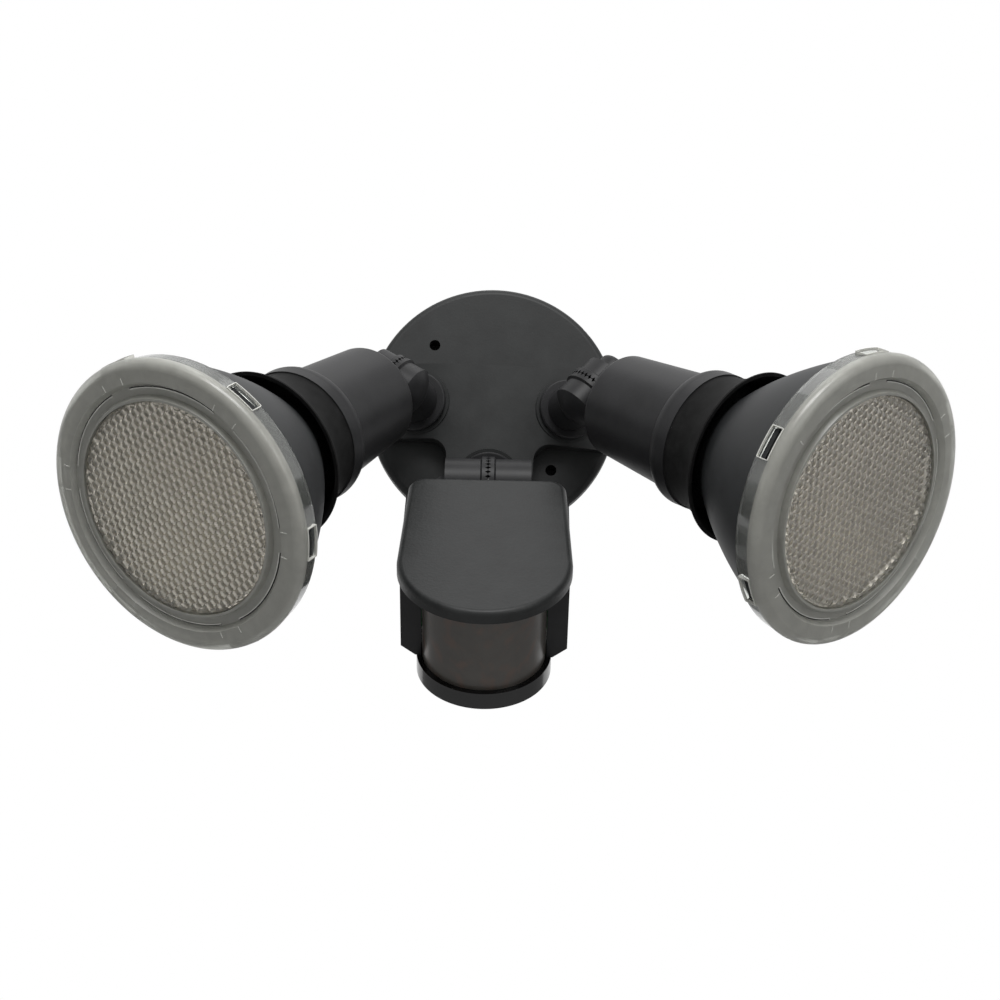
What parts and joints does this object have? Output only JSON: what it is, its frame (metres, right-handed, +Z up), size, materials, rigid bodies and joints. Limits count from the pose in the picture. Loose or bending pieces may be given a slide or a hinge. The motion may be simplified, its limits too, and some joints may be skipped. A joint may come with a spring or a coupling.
{
  "type": "motion sensor security light",
  "caption": "Wall security light: round base, swivelling lamp holders with serrated knuckles and flood lamps, and a hooded motion sensor head between them.",
  "frame": {"origin": "centre of the base's flat back face, on the wall", "axes": "+Y into the wall, +Z up, +X to the right of a person facing the light"},
  "size_m": [0.364, 0.2045, 0.2063],
  "materials": {
    "black_plastic": "matte",
    "gloss_black_plastic": "gloss",
    "black_rubber": "matte",
    "foam_rubber": "matte",
    "clear_cover": "gloss",
    "lens_plastic": "satin",
    "window_plastic": "satin",
    "reflector_metal": "polished",
    "cap_metal": "satin",
    "brass": "satin",
    "screw_steel": "satin",
    "socket_plastic": "matte",
    "lamp_housing": "satin",
    "board_laminate": "satin",
    "white_plastic": "matte",
    "grey_knob_plastic": "matte"
  },
  "bodies": {
    "base": {"base_cover": "black_plastic", "back_plate": "black_plastic", "back_plate_screws": "screw_steel", "wall_gasket": "foam_rubber", "cable_grommet": "black_rubber", "terminal_block": "white_plastic", "terminal_screws": "brass"},
    "right_arm": {"right_swivel": "black_plastic", "right_swivel_nut": "black_plastic", "right_swivel_seal": "black_rubber", "right_clamp_screw": "black_plastic", "right_clamp_nut": "screw_steel"},
    "right_lamp": {"right_lamp_holder": "black_plastic", "right_socket_body": "socket_plastic", "right_socket_shell": "brass", "right_socket_contact": "brass", "right_holder_gasket": "black_rubber", "right_lamp_body": "lamp_housing", "right_lamp_cap": "cap_metal", "right_lamp_contact": "brass", "right_reflector": "reflector_metal", "right_led_board": "white_plastic", "right_lamp_cover": "clear_cover", "right_lamp_lens": "lens_plastic"},
    "left_arm": {"left_swivel": "black_plastic", "left_swivel_nut": "black_plastic", "left_swivel_seal": "black_rubber", "left_clamp_screw": "black_plastic", "left_clamp_nut": "screw_steel"},
    "left_lamp": {"left_lamp_holder": "black_plastic", "left_socket_body": "socket_plastic", "left_socket_shell": "brass", "left_socket_contact": "brass", "left_holder_gasket": "black_rubber", "left_lamp_body": "lamp_housing", "left_lamp_cap": "cap_metal", "left_lamp_contact": "brass", "left_reflector": "reflector_metal", "left_led_board": "white_plastic", "left_lamp_cover": "clear_cover", "left_lamp_lens": "lens_plastic"},
    "sensor_arm": {"sensor_swivel": "black_plastic", "sensor_swivel_nut": "black_plastic", "sensor_swivel_seal": "black_rubber", "sensor_clamp_screw": "screw_steel", "sensor_clamp_nut": "screw_steel"},
    "sensor_head": {"sensor_housing": "black_plastic", "sensor_lid": "black_plastic", "sensor_window": "window_plastic", "sensor_foot": "gloss_black_plastic", "sensor_circuit_board": "board_laminate", "sensor_detector": "cap_metal", "sensor_relay": "gloss_black_plastic", "sensor_trimmers": "white_plastic"},
    "light_level_dial": {"light_level_knob": "grey_knob_plastic"},
    "time_dial": {"time_knob": "grey_knob_plastic"},
    "range_dial": {"range_knob": "grey_knob_plastic"}
  },
  "joints": [
    {"name": "right_pan", "type": "hinge", "parent": "base", "child": "right_arm", "pos_m": [0.0354, -0.01928, -0.0014], "axis": [0.2622, -0.965, 0], "range_deg": [-20, 120]},
    {"name": "right_tilt", "type": "hinge", "parent": "right_arm", "child": "right_lamp", "pos_m": [0.04466, -0.05334, -0.0014], "axis": [0.6369, 0.1731, 0.7513], "range_deg": [-41, 24]},
    {"name": "left_pan", "type": "hinge", "parent": "base", "child": "left_arm", "pos_m": [-0.0354, -0.01928, -0.0014], "axis": [-0.2622, -0.965, 0], "range_deg": [-135, 3]},
    {"name": "left_tilt", "type": "hinge", "parent": "left_arm", "child": "left_lamp", "pos_m": [-0.04466, -0.05334, -0.0014], "axis": [0.8536, -0.232, -0.4664], "range_deg": [-41, 24]},
    {"name": "sensor_pan", "type": "hinge", "parent": "base", "child": "sensor_arm", "pos_m": [0, -0.0214, -0.0383], "axis": [0, -0.9659, -0.2588], "range_deg": [-30, 30]},
    {"name": "sensor_tilt", "type": "hinge", "parent": "sensor_arm", "child": "sensor_head", "pos_m": [0, -0.03917, -0.04306], "axis": [0.9995, -0.0081, 0.0303], "range_deg": [-40, 14]},
    {"name": "light_level_turn", "type": "hinge", "parent": "sensor_head", "child": "light_level_dial", "pos_m": [-0.01373, -0.04059, -0.1186], "axis": [-0.0273, -0.7045, 0.7092], "range_deg": [-135, 135]},
    {"name": "time_turn", "type": "hinge", "parent": "sensor_head", "child": "time_dial", "pos_m": [0.00227, -0.04072, -0.11812], "axis": [-0.0273, -0.7045, 0.7092], "range_deg": [-135, 135]},
    {"name": "range_turn", "type": "hinge", "parent": "sensor_head", "child": "range_dial", "pos_m": [0.01826, -0.04085, -0.11763], "axis": [-0.0273, -0.7045, 0.7092], "range_deg": [-135, 135]}
  ]
}
